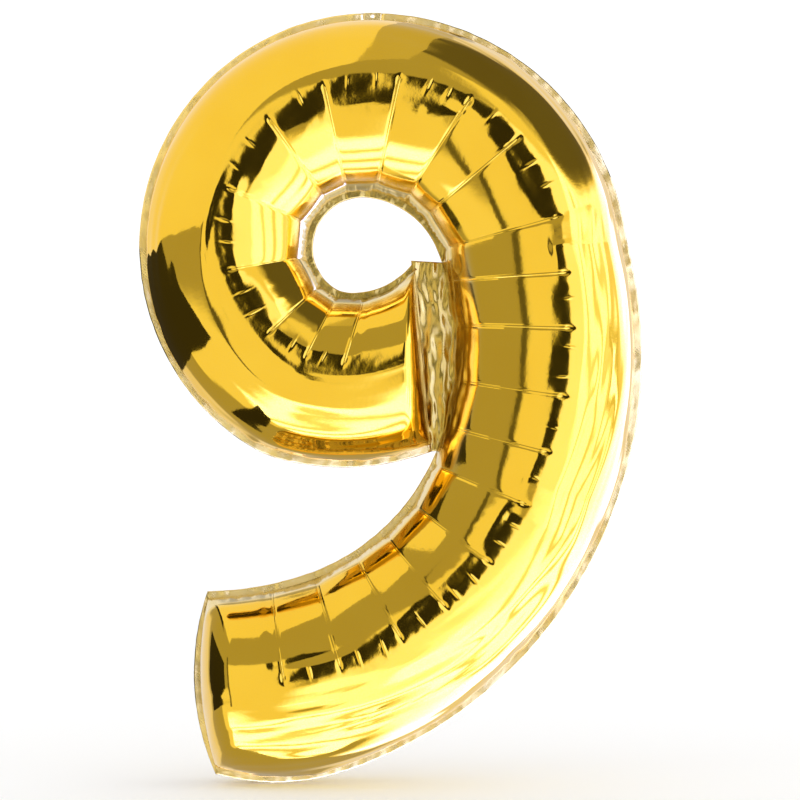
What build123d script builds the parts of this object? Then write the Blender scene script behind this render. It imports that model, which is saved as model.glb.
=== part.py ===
from build123d import *
import math
import os

# Foil number balloon, a figure 9: one inflated tube, wound from the loop's closed end, round the
# eye, down the stem to the tail. Two foil panels are welded together along flat seam margins.
#
# Frame: X to the right, Z up, the front faces -Y. The origin is under the middle of the balloon.
# All sizes are in millimetres.

# ---- Driving dimensions ---------------------------------------------------------------------
SKIN = 1.0  # wall of a skin, a thick stand-in for foil film
SEAM_HALF = 0.6  # half the thickness of a two-ply weld
MARGIN = 8.0  # width of the flat weld outside the inflated tube
SEAM_LIP = 1.4  # how far a weld runs in under the skins that stand on it
LOOP_FULLNESS = 0.80  # depth over width of the tube, round the loop
STEM_FULLNESS = 0.88  # the same, down the stem
FULLNESS_TURN = 3  # station from which the tube grows rounder
END_ROUNDING = 78.0  # length over which a closed end of the tube swells to full depth
CLOSED_DEPTH = 0.3  # what is left of the inner height where an end is pressed shut
LOOP_END = 0.05  # station of the skins' first section, at the web
TAIL_END_GAP = 0.05  # station left over beyond the skins' last section

# The outline is two chains of arcs, from the loop's closed end to the tail, as (x, z).
# Each row is the middle and the end of one arc, and both chains have the same stretches.
OUTER_START = (46, 371)
OUTER_ARCS = [
    ((-45, 353), (-143, 368)),  # flattened bottom of the loop
    ((-245, 466), (-282, 601)),  # lower left of the loop
    ((-206, 786), (-20, 863)),  # upper left of the loop
    ((182, 779), (265, 606)),  # upper right shoulder
    ((282, 490), (252, 308)),  # back of the stem
    ((134, 125), (-60, 10)),  # long sweep under the stem
    ((-126, 0), (-196, 10)),  # bottom of the tail
]
INNER_START = (27, 585)
INNER_ARCS = [
    ((-14, 554), (-56, 550)),  # under the eye
    ((-79, 571), (-87, 600)),  # lower left of the eye
    ((-71, 639), (-32, 656)),  # upper left of the eye
    ((21, 637), (57, 583)),  # upper right of the eye
    ((72, 485), (51, 372)),  # stem beside the web
    ((-6, 288), (-104, 231)),  # top of the bay's lower side
    ((-150, 220), (-205, 215)),  # top of the tail
]
TAIL_BULGE = (-219, 95)  # leftmost point of the tail's end weld
WEB_START = 4  # the web fills the gap between the loop's closed end and the stretch of the
WEB_END = 5  # inner chain from WEB_START to WEB_END
MARGIN_FADE = 0.12  # share of a stretch over which a margin fades out at the web

# Hang tab, in a gap of the outer weld at the top of the loop
TAB_STATION = 3
TAB_STEP = 0.024  # half the tab's width, as a share of a stretch
TAB_HOLE_RADIUS = 2.0

# Filler neck: a flat sleeve of two plies, folded back behind the tail's bottom weld
NECK_STATION = 6.5
NECK_WIDTH = 34.0
NECK_TIP_WIDTH = 29.0
NECK_LENGTH = 58.0
NECK_PLY = 0.5
NECK_GAP = 0.4  # between the plies, which is the way in for the gas
NECK_WELD = 4.0  # width of the weld along each side
NECK_CORNER = 5.0
NECK_TILT = 12.0  # degrees above level, close along the skin above it
FOLD_HEIGHT = 2.0  # of the fold line above the outline's lowest point
FOLD_CLEARANCE = 0.4  # left round the fold, in place of the bent film

# Self-sealing valve: two flat films inside the tail, welded to each other at their sides
VALVE_WIDTH = 38.0
VALVE_LENGTH = 140.0
VALVE_PLY = 0.4
VALVE_GAP = 0.3
VALVE_WELD = 4.0

STRETCHES = len(OUTER_ARCS)
STRETCH_NAMES = ("loop_bottom", "loop_left", "loop_top", "shoulder", "stem", "underside", "tail")
STEPS = 6  # sections to a stretch
END_SHARES = (0.0, 0.03, 0.12, 0.28, 0.5, 0.75, 1.0)  # sections crowd together at closed ends
PROFILE_ANGLES = (0, 14, 32, 60, 90, 120, 148, 166, 180)
LENGTH_SAMPLES = 60  # to a stretch, for measuring along the tube
TINY = 1e-6


# ---- The two boundary chains ------------------------------------------------------------------
def chain(start, rows):
    """Edges of one boundary, in the plane of the welds."""
    edges = []
    for middle, end in rows:
        points = [Vector(x, 0, z) for x, z in (start, middle, end)]
        edges.append(Edge.make_three_point_arc(*points))
        start = end
    return edges


OUTER = chain(OUTER_START, OUTER_ARCS)
INNER = chain(INNER_START, INNER_ARCS)


def on_chain(edges, station):
    """Point of a chain at a station: the whole part counts stretches."""
    index = min(int(station), STRETCHES - 1)
    return edges[index].position_at(station - index)


def inner_margin(station):
    """Width of the weld at the inner boundary, which fades out along the web."""
    outside = max(WEB_START - station, station - WEB_END)
    return MARGIN * min(1, max(0, outside / MARGIN_FADE))


def weld_lines(station):
    """Inner and outer weld points of a station, and the direction across the tube."""
    inner = on_chain(INNER, station)
    outer = on_chain(OUTER, station)
    across = (outer - inner).normalized()
    return inner + across * inner_margin(station), outer - across * MARGIN, across


def spaced(first, last, count):
    """Evenly spaced stations, both ends included."""
    return [first + (last - first) * i / count for i in range(count + 1)]


# ---- Skins ------------------------------------------------------------------------------------
def tube_lengths(stations):
    """Length of the tube's middle line up to each station."""
    lengths = [0.0]
    middles = [(weld_lines(s)[0] + weld_lines(s)[1]) / 2 for s in stations]
    for before, after in zip(middles, middles[1:]):
        lengths.append(lengths[-1] + (after - before).length)
    return lengths


def skin_stations():
    """Stations of the skins' sections, with their distance from the nearer closed end."""
    even = spaced(0, STRETCHES, STRETCHES * LENGTH_SAMPLES)[1:-1]
    fine = [s for s in even if LOOP_END <= s <= STRETCHES - TAIL_END_GAP]
    lengths = tube_lengths(fine)
    total = lengths[-1]
    near_end = [share * END_ROUNDING for share in END_SHARES]
    chosen = set()
    for length in near_end + [total - distance for distance in near_end]:
        chosen.add(min(range(len(fine)), key=lambda i: abs(lengths[i] - length)))
    for i, station in enumerate(fine):
        on_step = round(station * LENGTH_SAMPLES) % (LENGTH_SAMPLES // STEPS) == 0
        if on_step and END_ROUNDING < lengths[i] < total - END_ROUNDING:
            chosen.add(i)
    return [(fine[i], min(lengths[i], total - lengths[i])) for i in sorted(chosen)]


def fullness(station):
    """Depth over width: the stem stands rounder than the loop."""
    share = min(1, max(0, station - FULLNESS_TURN))
    return LOOP_FULLNESS + (STEM_FULLNESS - LOOP_FULLNESS) * share


def section(station, end_distance, side):
    """Crescent wire of one skin at a station; side is -1 in front and 1 behind."""
    inner, outer, across = weld_lines(station)
    centre = (inner + outer) / 2
    half = (outer - inner).length / 2
    swell = min(1, end_distance / END_ROUNDING)
    depth = half * fullness(station) * math.sqrt(1 - (1 - swell) ** 2)
    depth = max(depth, SKIN + CLOSED_DEPTH)
    foot = Vector(0, side * SEAM_HALF, 0)

    def profile(width, height):
        """Half an ellipse of points from the inner weld to the outer one."""
        points = []
        for angle in PROFILE_ANGLES:
            turn = math.radians(angle)
            points.append(centre + foot - across * (width * math.cos(turn))
                          + Vector(0, side * height * math.sin(turn), 0))
        return points

    outside = profile(half, depth)
    inside = profile(half - SKIN, depth - SKIN)
    return Wire([
        Edge.make_spline(outside),
        Edge.make_line(outside[-1], inside[-1]),
        Edge.make_spline(inside[::-1]),
        Edge.make_line(inside[0], outside[0]),
    ])


def skin(name, side):
    """One foil skin, lofted through its sections, in a node for each stretch of the outline."""
    sections = skin_stations()
    nodes = {}
    for index, stretch in enumerate(STRETCH_NAMES):
        inside = [row for row in sections if index - TINY <= row[0] <= index + 1 + TINY]
        wires = [section(station, distance, side) for station, distance in inside]
        nodes[f"{name}_{stretch}"] = Solid.make_loft(wires)
    return nodes


# ---- Flat welds -------------------------------------------------------------------------------
def flat_plate(near, far):
    """Weld between two rows of points, two plies thick."""
    wire = Wire([
        Edge.make_spline(near),
        Edge.make_line(near[-1], far[-1]),
        Edge.make_spline(far[::-1]),
        Edge.make_line(far[0], near[0]),
    ])
    start = Vector(0, SEAM_HALF, 0)
    face = Face(wire.moved(Location(start)))
    return Solid.extrude(face, Vector(0, -2 * SEAM_HALF, 0))


def outer_weld(first, last, count):
    """Stretch of the outer weld."""
    edge = []
    lip = []
    for station in spaced(first, last, count):
        _, weld, across = weld_lines(station)
        edge.append(on_chain(OUTER, station))
        lip.append(weld - across * SEAM_LIP)
    return flat_plate(edge, lip)


def inner_weld(first, last, count):
    """Stretch of the inner weld."""
    edge = []
    lip = []
    for station in spaced(first, last, count):
        weld, _, across = weld_lines(station)
        edge.append(on_chain(INNER, station))
        lip.append(weld + across * SEAM_LIP)
    return flat_plate(edge, lip)


def station_line(station):
    """Three points straight across the tube, from outline to outline."""
    inner = on_chain(INNER, station)
    outer = on_chain(OUTER, station)
    return [inner, (inner + outer) / 2, outer]


def shifted(points, step):
    """A row of points moved by one vector."""
    return [point + step for point in points]


def loop_web():
    """Weld between the loop's closed end and the stem, with the skins' edges on it."""
    _, _, across = weld_lines(LOOP_END)
    along = Vector(-across.Z, 0, across.X)
    near = shifted(station_line(LOOP_END), -along * SEAM_LIP)
    far = []
    for station in spaced(WEB_START, WEB_END, STEPS):
        weld, _, across = weld_lines(station)
        far.append(weld + across * SEAM_LIP)
    return flat_plate(near, far)


def tail_end_weld():
    """Weld that closes the tail, bulged to the left."""
    station = STRETCHES - TAIL_END_GAP
    _, _, across = weld_lines(station)
    along = Vector(-across.Z, 0, across.X)
    near = shifted(station_line(station), along * SEAM_LIP)
    bulge = Vector(TAIL_BULGE[0], 0, TAIL_BULGE[1])
    far = [on_chain(INNER, STRETCHES), bulge, on_chain(OUTER, STRETCHES)]
    return flat_plate(near, far)


def hang_tab():
    """Stretch of the outer weld with a punched hole for a hanging thread."""
    tab = outer_weld(TAB_STATION - TAB_STEP, TAB_STATION + TAB_STEP, 2)
    _, _, across = weld_lines(TAB_STATION)
    hole = on_chain(OUTER, TAB_STATION) - across * (MARGIN / 2)
    print("hang hole at", hole)
    punch = Cylinder(TAB_HOLE_RADIUS, 4 * SEAM_HALF, rotation=(90, 0, 0))
    return tab - punch.moved(Location(hole))


# ---- Filler neck ------------------------------------------------------------------------------
def fold_point():
    """Point on the line that the neck folds about."""
    root = on_chain(OUTER, NECK_STATION)
    reach = SEAM_HALF + FOLD_CLEARANCE + NECK_GAP / 2 + NECK_PLY
    return Vector(root.X, reach, root.Z + FOLD_HEIGHT)


def neck_place():
    """Place of the neck at rest, folded back behind the tail."""
    return Location(fold_point(), (NECK_TILT, 0, 0))


def neck_outline():
    """Tapered flat shape of the neck, with its two tip corners rounded."""
    root = NECK_WIDTH / 2
    tip = NECK_TIP_WIDTH / 2
    left = [(-tip, NECK_LENGTH), (-root, FOLD_CLEARANCE)]
    right = [(root, FOLD_CLEARANCE), (tip, NECK_LENGTH)]
    shape = make_face(Polyline(*left, *right, close=True))
    corners = shape.vertices().sort_by(Axis.Y)[-2:]
    return fillet(corners, NECK_CORNER)


def neck_ply(side):
    """One ply of the neck; side is -1 below and 1 above."""
    ply = extrude(neck_outline(), side * NECK_PLY)
    return ply.moved(Location((0, 0, side * NECK_GAP / 2))).moved(neck_place())


def neck_welds():
    """The two side welds that join the plies into a sleeve."""
    half_gap = NECK_GAP / 2
    sleeve = extrude(neck_outline(), half_gap, both=True)
    way_in = Box(NECK_TIP_WIDTH - 2 * NECK_WELD, 3 * NECK_LENGTH, 2 * NECK_GAP)
    return (sleeve - way_in).moved(neck_place())


# ---- Valve ------------------------------------------------------------------------------------
def valve_plate(left, right, front, rear, weld):
    """Flat strip inside the tail that stands on the outer weld."""
    root = on_chain(OUTER, NECK_STATION)
    box = Box(right - left, rear - front, VALVE_LENGTH, align=(Align.MIN, Align.MIN, Align.MIN))
    strip = box.moved(Location((root.X + left, front, root.Z + MARGIN / 2)))
    return strip - weld


def valve_film(side, weld):
    """One film of the valve; side is -1 in front and 1 behind."""
    near = VALVE_GAP / 2
    front, rear = sorted((side * near, side * (near + VALVE_PLY)))
    half = VALVE_WIDTH / 2
    return valve_plate(-half, half, front, rear, weld)


def valve_welds(weld):
    """The two edge welds that join the films into a channel."""
    half = VALVE_WIDTH / 2
    gap = VALVE_GAP / 2
    inner = half - VALVE_WELD
    return (valve_plate(-half, -inner, -gap, gap, weld)
            + valve_plate(inner, half, -gap, gap, weld))


# ---- Assembly ---------------------------------------------------------------------------------
def welds():
    """Every flat weld; the web and the tail's end fit in between the long seams."""
    tail_end = STRETCHES - TAIL_END_GAP
    seams = {
        "outer_seam_left": outer_weld(LOOP_END, TAB_STATION - TAB_STEP, 3 * STEPS),
        "outer_seam_right": outer_weld(TAB_STATION + TAB_STEP, tail_end, 4 * STEPS),
        "eye_seam": inner_weld(LOOP_END, WEB_START, 6 * STEPS),
        "bay_seam": inner_weld(WEB_END, tail_end, 3 * STEPS),
    }
    ends = {"tail_end_seam": tail_end_weld(), "loop_web": loop_web()}
    for node in ends:
        for seam in seams.values():
            ends[node] = ends[node] - seam
        ends[node] = ends[node].solids().sort_by(SortBy.VOLUME)[-1]
    return {**seams, **ends, "hang_tab": hang_tab()}


def filler(outer_seam):
    """Neck outside, valve inside: both belong to the weld at the tail's bottom."""
    return {
        "neck_lower_ply": neck_ply(-1),
        "neck_upper_ply": neck_ply(1),
        "neck_side_welds": neck_welds(),
        "valve_front_film": valve_film(-1, outer_seam),
        "valve_rear_film": valve_film(1, outer_seam),
        "valve_edge_welds": valve_welds(outer_seam),
    }


def balloon():
    """Every piece by its name."""
    seams = welds()
    skins = {**skin("front_skin", -1), **skin("rear_skin", 1)}
    return {**skins, **seams, **filler(seams["outer_seam_right"])}


os.makedirs("parts", exist_ok=True)
print("neck folds about", fold_point())
for node, shape in balloon().items():
    export_step(shape, f"parts/{node}.step")
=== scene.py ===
"""Looks of a gold foil balloon in the shape of a 9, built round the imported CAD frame.

The balloon is one inflated tube, wound from the loop's closed end round the eye and down the stem
to the tail. Its surface is a grid: rows along the tube, columns across it from the inner weld to
the outer one. Sizes below are in millimetres, and MM turns them into the scene's metres.
"""

import math

import bmesh
import bpy
import numpy as np
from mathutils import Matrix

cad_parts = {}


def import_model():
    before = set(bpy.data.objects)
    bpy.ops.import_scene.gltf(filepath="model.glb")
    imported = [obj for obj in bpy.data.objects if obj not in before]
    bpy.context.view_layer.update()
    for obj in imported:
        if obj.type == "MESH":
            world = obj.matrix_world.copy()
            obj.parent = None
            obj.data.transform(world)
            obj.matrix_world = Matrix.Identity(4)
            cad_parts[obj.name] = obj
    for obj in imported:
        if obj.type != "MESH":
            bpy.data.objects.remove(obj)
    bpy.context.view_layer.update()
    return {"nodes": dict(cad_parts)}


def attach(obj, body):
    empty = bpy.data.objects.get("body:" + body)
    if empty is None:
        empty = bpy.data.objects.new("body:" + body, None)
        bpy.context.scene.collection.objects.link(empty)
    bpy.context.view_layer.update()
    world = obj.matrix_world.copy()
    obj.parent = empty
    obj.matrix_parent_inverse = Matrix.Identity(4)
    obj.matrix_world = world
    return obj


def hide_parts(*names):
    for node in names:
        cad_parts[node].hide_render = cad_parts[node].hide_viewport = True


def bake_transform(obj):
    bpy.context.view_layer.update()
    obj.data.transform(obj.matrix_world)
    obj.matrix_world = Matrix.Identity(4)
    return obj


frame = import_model()
MM = 0.001

# ---- Outline, as in the CAD part: the middle and the end of each arc, as (x, z) ----
OUTER_START = (46, 371)
OUTER_ARCS = [
    ((-45, 353), (-143, 368)),  # flattened bottom of the loop
    ((-245, 466), (-282, 601)),  # lower left of the loop
    ((-206, 786), (-20, 863)),  # upper left of the loop
    ((182, 779), (265, 606)),  # upper right shoulder
    ((282, 490), (252, 308)),  # back of the stem
    ((134, 125), (-60, 10)),  # long sweep under the stem
    ((-126, 0), (-196, 10)),  # bottom of the tail
]
INNER_START = (27, 585)
INNER_ARCS = [
    ((-14, 554), (-56, 550)),  # under the eye
    ((-79, 571), (-87, 600)),  # lower left of the eye
    ((-71, 639), (-32, 656)),  # upper left of the eye
    ((21, 637), (57, 583)),  # upper right of the eye
    ((72, 485), (51, 372)),  # stem beside the web
    ((-6, 288), (-104, 231)),  # top of the bay's lower side
    ((-150, 220), (-205, 215)),  # top of the tail
]
STRETCHES = len(OUTER_ARCS)
WEB_START = 4  # stations count the arcs from the loop's closed end
WEB_END = 5
TAB_STATION = 3
TAB_STEP = 0.024  # half the tab, in stations
TAB_HOLE_RADIUS = 2.0
MARGIN = 8.0  # width of the flat welds
MARGIN_FADE = 0.12  # stations over which the inner weld narrows to nothing at the web
TAIL_END = (-219, 95)  # leftmost point of the weld that closes the tail

# ---- Tube ----
LOOP_FULLNESS = 0.80  # depth of the tube as a share of half its width
STEM_FULLNESS = 0.88
STEM_STATION = 3  # the fullness grows from here over one station
LOOP_END_ROUNDING = 25.0
TAIL_END_ROUNDING = 34.0
END_SHAPE = 2.7  # power of the curve by which a closed end swells
END_DEPTH = 1.2
CHORD_POWER = 0.94  # under 1 makes the section boxier than an ellipse
RISE_POWER = 0.92
TAIL_BOW = 13.0  # how far the tail's end stands out in its middle
TAIL_BOW_REACH = 90.0
SEAM_HALF = 0.5
BACKING = 3.0  # depth of the closed mesh behind the film
BACKING_STEPS = (8, 7)  # how much coarser the back of each skin is, along and across
FRONT_SEED, REAR_SEED = 11, 47
FINE = 1600  # samples of the outline before rows are chosen
KERNEL_REACH = 3  # widths of a smoothing curve that are kept on each side
CORNER_SMOOTHING = 14.0
# Where the crown stands between the inner weld (0) and the outer one (1), by length along the tube
CROWN_PLACES = ((0, 0.42), (150, 0.38), (285, 0.46), (457, 0.58), (650, 0.66), (800, 0.66),
                (950, 0.61), (1100, 0.54), (1300, 0.48), (1542, 0.43))
CROWN_SMOOTHING = 30.0

# ---- Creases and puckers ----
FRONT_FACETS = (97, 46, 54, 88, 90, 82, 63, 73, 70, 58, 84, 56, 59, 73, 62, 60, 74, 68, 60, 75, 65)
REAR_FACET = (52, 90)  # shortest and longest
CREASE_ROWS = (0.0, 0.5, 1.0, 1.7, 2.6, 3.8, 5.4)  # rows stand close together beside a crease
ROW_STEP = 3.0
INNER_COLUMNS, CROWN_COLUMNS, OUTER_COLUMNS = 38, 22, 38
CROWN_BAND = 0.055  # half the width of the band of close columns, as a share of half a turn
GAP_SPACING = 26.0  # of the small folds across the crown
GAP_SHIFT = 5.0  # how far a fold may stand from its even place
GAP_ROWS = (-2.6, -1.7, -0.8, 0.0, 0.8, 1.7, 2.6)
GAP_CLEAR = 3.4  # other rows keep this far from a fold's middle
GAP_REACH = 6.5  # how far a fold runs to each side of the crown
GAP_LEAST = (0.3, -0.12, 1.2, -3)  # height, slant, width and offset of the small folds
GAP_MOST = (0.8, 0.12, 1.9, 3)

# ---- Relief of the skins ----
# A pair of lengths or distances is a fade: the effect begins or ends between them.
FACETS_FROM = (80, 92)  # from the loop's closed end
FACETS_UNTIL = (66, 78)  # from the tail's end
FACET_ROOT = (0, 8)  # from the inner weld
FACET_FADE = (-17, -6)  # from the crown, where facets give way to the round tube
FACET_BULGE = (0.15, 0.8)  # least and most
RIB_LIFT = 0.55  # spread of the creases' heights
RIB_ROOT_LIFT = 0.9  # and of the added height at their inner ends
CREASE_ROOT = (5, 12)
CREASE_TIP = (-1, 4)
CREASE_STRENGTH = (0.7, 1.25)
RIDGE = (0.6, 0.9)  # height and width of the ridge along a crease
GROOVE = (0.5, 2.0)  # depth and width of the groove round it
DIMPLE = (0.5, 2.6, 5.0)  # depth of the dimple at a crease's tip, its width along and across
DIMPLE_PLACE = 1.0  # its distance outside the crown
OFF_CROWN = (5, 22)
SHOULDER = 0.7  # how far the film dips inside the crown
SHOULDER_FADE = (5, 17)
WAVER_REACH = 5.0
WAVER_WIDTH = 12.0
SECOND_LINE = (28, 6.0)  # distance inside the crown and width of a second, fainter line
BEAD = (1.2, 36, 7)  # height, distance from the inner weld and width of the bead round the eye
BEAD_FROM = (15, 40)
TICK_BAND = ((0, 4), (24, 33))
CRUSHED_BAND = ((0, 5), (44, 58))
PUCKER_ROOT = (0, 5)
PUCKER_REACH = 20
PUCKER_CORE = 0.3  # share of its reach over which a pucker keeps its height
FLUTE_SLANT = 0.10
FLUTES_FROM = (8, 26)  # from the crown
FLUTES_UNTIL = (0, 12)  # from the outer weld
EDGE_FADE = (0, 3)  # all relief fades out toward the welds
END_FADE = (0, 7)  # and toward the tube's ends
# Waves of noise: height, cell along the tube, cell across it (None for the same all the way
# across) and the number that its seed is moved by
WAVER = ((0.10, 6, None, 2),)
SECOND_LINE_WAVES = ((0.22, 9, None, 3),)
TICKS = ((0.9, 4.5, None, 4), (0.5, 9, None, 5))
PUCKER_REACH_WAVES = ((12, 15, None, 6),)
PUCKERS = ((1.5, 8, None, 7), (0.9, 17, None, 8))
FLUTES = ((1.0, 120, 17, 9), (0.5, 60, 8, 10))
SWELLS = ((0.9, 75, 60, 11),)
CRUSHED = ((1.3, 30, 5, 12), (0.6, 12, 4, 13))
# Strength of an effect, by length along the tube
RING_STRENGTH = ((0, 1), (800, 1), (860, 0.2), (1060, 0.2), (1120, 0.9), (1542, 0.9))
PUCKER_STRENGTH = ((0, 0.9), (150, 1.0), (250, 0.6), (360, 0.5), (430, 0.3), (600, 0.5),
                   (700, 1.3), (1100, 1.2), (1542, 1.3))
FLUTE_STRENGTH = ((0, 0.7), (220, 1.2), (330, 1.3), (420, 0.25), (520, 0.25), (620, 0.9),
                  (720, 1.0), (900, 0.9), (1100, 1.3), (1400, 1.7), (1542, 1.3))
BY_EYE = ((0, 1), (800, 1), (850, 0), (1542, 0))
BY_WEB = ((0, 0), (800, 0), (850, 1), (1060, 1), (1120, 0), (1542, 0))
BY_BAY = ((0, 0), (1060, 0), (1120, 1), (1542, 1))

# ---- Painted shade and painted highlight beside the welds, each with more roughness: share, and fade or (distance, width) ----
PAINTED_SHADE_BY_EYE = (0.9, (23, 30))
PAINTED_SHADE_BY_WEB = (1.0, (46, 58))
PAINTED_SHADE_BY_END = (0.7, (2, 10))
PAINTED_HIGHLIGHT_BY_EYE = (1.0, 38, 9)
PAINTED_HIGHLIGHT_BY_WEB = (0.8, 60, 6)
PAINTED_HIGHLIGHT_BY_BAY = (0.85, (30, 46))
PAINTED_HIGHLIGHT_BY_OUTER = (0.5, (4, 14))

# ---- Welds and web ----
LIP = 2.0  # how far a weld runs in under the skins
WELD_COLUMNS = 6
WELD_ROW_STEP = 2.4
WELD_HALF = 0.42  # half the thickness at the root
WELD_THINNING = 0.4  # share of it lost at the free edge
WELD_WAVE = (1.0, 7)  # share of the weld's waves, and their cell along it
WELD_SWELL = (0.6, 19)
WELD_RIPPLE = (0.22, 3.2)
WELD_RIPPLE_CELLS = 3  # across the weld
WELD_ROOT_FADE = (0, 0.3)
EDGE_WANDER = (0.3, 9)  # how far the cut edge wanders, and over what length
TAIL_WELD_POINTS = 60
TAIL_WELD_WAVE = 0.9
# Each weld beside the tube: side, first and last station, height of its waves, seed and CAD node
SIDE_WELDS = (
    ("outer_weld_left", "outer", 0, TAB_STATION - TAB_STEP, 1.0, 61, "outer_seam_left"),
    ("outer_weld_right", "outer", TAB_STATION + TAB_STEP, STRETCHES, 1.1, 62, "outer_seam_right"),
    ("eye_weld", "inner", 0, WEB_START, 0.7, 63, "eye_seam"),
    ("bay_weld", "inner", WEB_END, STRETCHES, 0.6, 64, "bay_seam"),
)
CRINKLE_OCTAVES = ((1, 0.55), (2.1, 0.3), (4.3, 0.15))  # fineness and weight
WEB_ROWS, WEB_COLUMNS = 96, 22
WEB_HALF = 0.4
WEB_FOLD = 1.5  # height of its folds
# Their waves: height, cell down and across, slant, shift and the number that moves the seed
WEB_FOLDS = ((1.0, 34, 5, 0.10, 0, 0), (0.5, 13, 4, -0.2, 60, 9))
WEB_EDGE = (0, 0.16)  # share of its width over which the folds fade

# ---- Hang tab and filler neck ----
TAB_SPOKES = 48
TAB_RINGS = 9
TAB_WARP = 0.25
NECK_FOLD = (-128.0, 1.7, 1.99)  # where the neck leaves the tail's weld
NECK_TILT = 12.0  # degrees that the folded neck rises
NECK_ROOT_HALF = 17.0
NECK_TIP_HALF = 14.5
NECK_START = 0.4
NECK_LENGTH = 58.0
NECK_CORNER = 5.0
NECK_WELD = 4.0
NECK_GAP = 0.4
NECK_FILM = 0.3
NECK_PUFF = 0.9
NECK_PUFF_FROM = (0, 26)
NECK_WRINKLE = (0.35, 16, 7)  # height, and cell along and across
NECK_WRINKLE_EDGE = (0, 0.2)
NECK_SIDE = 20.0  # keeps the noise's place across above 0
NECK_CREASE = (0.5, 5)  # height and cell of the creases at its root
NECK_CREASED_UNTIL = (6, 20)
NECK_ROWS, NECK_COLUMNS = 44, 25
ROOT_HALF_FILM = 0.16
ROOT_ROWS, ROOT_COLUMNS = 25, 25
ROOT_INSET = 0.3
ROOT_EASING = 4  # rounds of smoothing of its bend
ROOT_RIPPLE = 0.12
ROOT_RIPPLE_CELLS = (6, 9)
# The film's way from the rear of the tail's weld round to the neck, as (y, z)
NECK_ROOT_PATH = ((0.45, 6.5), (0.5, 3.6), (0.7, 1.5), (1.5, 0.8), (2.6, 1.6), (4.6, 2.6))

# ---- Finishes ----
# Each film: its two tints, its least and most roughness, the scale and height of its ripples, and
# whether a sealing bar has ribbed it
FILMS = {
    "gold_foil": ((0.955, 0.585, 0.032), (0.94, 0.56, 0.026), (0.05, 0.09), 170, 0.04, False),
    "weld_foil": ((0.98, 0.74, 0.24), (0.96, 0.66, 0.15), (0.24, 0.36), 320, 0.12, True),
    # The web's film: its darker brown tints are painted shade, for the recess between the loop and the stem
    # and for the eye's weld
    "web_foil_painted_shade": ((0.72, 0.49, 0.085), (0.62, 0.41, 0.06), (0.18, 0.28), 240, 0.10, False),
    "neck_foil": ((0.96, 0.68, 0.14), (0.94, 0.62, 0.10), (0.18, 0.28), 200, 0.08, False),
}
# Painted shade and painted highlight beside a weld: a darker and a paler film colour, each with more
# roughness, standing in for the dark and bright reflections there
PAINTED_HIGHLIGHT_COLOUR = (0.97, 0.78, 0.36)
PAINTED_HIGHLIGHT_ROUGHNESS = 0.22
PAINTED_SHADE_COLOUR = (0.66, 0.48, 0.10)
PAINTED_SHADE_ROUGHNESS = 0.24
COAT_WEIGHT = 0.4
COAT_ROUGHNESS = 0.04
TINT_SCALE = 14  # of the noise that mixes a film's two tints
ROUGHNESS_SCALE = 38
COARSE_DETAIL, FINE_DETAIL = 2, 3  # octaves of noise
NOISE_LOW, NOISE_HIGH = 0.3, 0.7  # the part of a noise value that is used
RIB_SCALE = 190
RIB_DISTORTION = 0.6
RIB_STRENGTH = 0.5
RIB_HEIGHT = 0.06
CLEAR_TINTS = ((0.80, 0.82, 0.85), (0.90, 0.91, 0.92))
CLEAR_ALPHA = 0.6
CLEAR_ROUGHNESS = (0.18, 0.34)
CLEAR_RIPPLE = 0.1
CLEAR_SCALES = (60, 90, 160)  # of the noise in its tint, its roughness and its ripples

# ---- Studio, in metres and degrees ----
CAMERA_PLACE = (0.0106, -4.5, 0.429)
CAMERA_LENS = 180.8
CAMERA_SENSOR = 36
WHITE_STRENGTH = 1.12  # of the plain white that everything but the foil's mirror sees
FLOOR_RADIUS = 6
FLOOR_SPOKES = 64
FLOOR_DROP = 0.0005  # how far the floor lies below the balloon
FLOOR_COLOUR = (0.95, 0.95, 0.945)
FLOOR_ROUGHNESS = 0.8
CARD_COLOUR = (1.0, 0.99, 0.96)
CARD_CENTRE = (-0.015, 0.600)  # of the loop, as (x, z)
CARD_RADIUS = 0.36
CARD_STEPS = 40
# Cards that curve round the loop: two long edges, each from (y, turn) to (y, turn); brightness
CURVED_CARDS = {
    "reflector": (((-0.30, 98), (-0.58, 168)), ((0.30, 80), (0.30, 186)), 1.0),
    "reflector_end": (((-0.26, 84), (-0.30, 98)), ((0.30, 62), (0.30, 80)), 0.6),
    "loop_flag": (((-0.06, 176), (-0.19, 209)), ((0.30, 188), (0.30, 214)), 0.04),
}
TAIL_FLAG = [(-0.34, -0.26, 0.05), (-0.34, 0.02, 0.05), (-0.34, 0.02, 0.23), (-0.34, -0.26, 0.19)]
TAIL_FLAG_BRIGHTNESS = 0.03
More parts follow.
